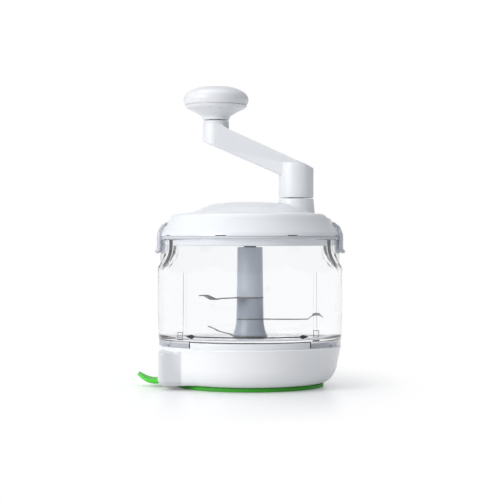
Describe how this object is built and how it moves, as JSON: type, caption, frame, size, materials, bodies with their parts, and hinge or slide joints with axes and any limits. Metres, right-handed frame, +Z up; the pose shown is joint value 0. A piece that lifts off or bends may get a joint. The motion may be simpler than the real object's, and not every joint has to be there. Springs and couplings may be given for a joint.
{
  "type": "manual food processor",
  "caption": "Hand cranked food processor: clear bowl with a geared lid crank, three blades on a column, and a suction base with a locking lever.",
  "frame": {"origin": "middle of the suction cup's flat underside, on the bowl's axis", "axes": "+Z up through the lid; +X towards the crank shaft, with the suction lever on -X; the front is -Y"},
  "size_m": [0.1693, 0.1496, 0.2427],
  "materials": {
    "white_plastic": "smooth moulded gloss",
    "white_satin": "moulded satin",
    "clear_plastic": "clear polished",
    "smoke_plastic": "translucent smooth",
    "grey_plastic": "fine satin",
    "blade_steel": "ground and brushed",
    "plated_steel": "bright plated",
    "green_rubber": "smooth satin rubber",
    "green_plastic": "smooth semi gloss",
    "dark_plastic": "satin",
    "grey_silicone": "soft satin",
    "natural_plastic": "machined natural"
  },
  "bodies": {
    "base": {"base_shell": "white_plastic", "base_deck": "white_plastic", "base_under_plate": "white_satin", "suction_cup": "green_rubber", "lever_pin": "plated_steel", "base_screw_1": "plated_steel", "base_screw_2": "plated_steel", "base_screw_3": "plated_steel", "base_screw_4": "plated_steel"},
    "post": {"suction_post": "dark_plastic"},
    "lever": {"suction_lever": "green_plastic"},
    "bowl": {"bowl": "clear_plastic", "blade_pivot_pin": "plated_steel"},
    "blades": {"column_core": "grey_plastic", "column_foot_sleeve": "grey_plastic", "column_middle_sleeve": "grey_plastic", "column_upper_sleeve": "grey_plastic", "blade_lower": "blade_steel", "blade_middle": "blade_steel", "blade_upper": "blade_steel"},
    "lid": {"lid_cover": "white_plastic", "lid_plate": "white_plastic", "lid_gasket": "grey_silicone", "lid_screw_1": "plated_steel", "lid_screw_2": "plated_steel", "lid_screw_3": "plated_steel", "lid_screw_4": "plated_steel", "shaft_bush": "natural_plastic", "driver_bush": "natural_plastic", "latch_pin_left": "plated_steel", "latch_pin_right": "plated_steel"},
    "left_latch": {"latch_left": "smoke_plastic"},
    "right_latch": {"latch_right": "smoke_plastic"},
    "crank": {"crank_arm": "white_plastic", "crank_shaft": "plated_steel", "shaft_clip": "plated_steel", "drive_gear": "natural_plastic", "knob_axle": "plated_steel"},
    "knob": {"knob_body": "white_plastic", "knob_cap": "white_plastic"},
    "driver": {"driver_pinion": "natural_plastic", "driver_shaft": "dark_plastic"}
  },
  "joints": [
    {"name": "bowl_turn", "type": "hinge", "parent": "base", "child": "bowl", "pos_m": [0, 0, 0.038], "axis": [0, 0, 1], "range_deg": [0, 20]},
    {"name": "lid_lift", "type": "slide", "parent": "bowl", "child": "lid", "axis": [0, 0, 1], "range_m": [0, 0.06]},
    {"name": "crank_turn", "type": "hinge", "parent": "lid", "child": "crank", "pos_m": [0.0375, 0, 0.13], "axis": [0, 0, 1], "continuous": true},
    {"name": "knob_spin", "type": "hinge", "parent": "crank", "child": "knob", "pos_m": [-0.0275, 0, 0.216], "axis": [0, 0, 1], "continuous": true},
    {"name": "driver_turn", "type": "hinge", "parent": "lid", "child": "driver", "pos_m": [0, 0, 0.12], "axis": [0, 0, 1], "continuous": true},
    {"name": "blade_turn", "type": "hinge", "parent": "bowl", "child": "blades", "pos_m": [0, 0, 0.05], "axis": [0, 0, 1], "continuous": true},
    {"name": "latch_left_open", "type": "hinge", "parent": "lid", "child": "left_latch", "pos_m": [-0.0673, 0, 0.1304], "axis": [0, 1, 0], "range_deg": [0, 35]},
    {"name": "latch_right_open", "type": "hinge", "parent": "lid", "child": "right_latch", "pos_m": [0.0673, 0, 0.1304], "axis": [0, -1, 0], "range_deg": [0, 35]},
    {"name": "lever_lift", "type": "hinge", "parent": "base", "child": "lever", "pos_m": [-0.014, 0, 0.019], "axis": [0, 1, 0], "range_deg": [0, 15]},
    {"name": "post_drop", "type": "slide", "parent": "base", "child": "post", "axis": [0, 0, 1], "range_m": [-0.0037, 0]}
  ],
  "couplings": [
    {"joint": "driver_turn", "follows": "crank_turn", "ratio": -2.5714},
    {"joint": "blade_turn", "follows": "crank_turn", "ratio": -2.5714},
    {"joint": "post_drop", "follows": "lever_lift", "m_per_rad": -0.014}
  ]
}
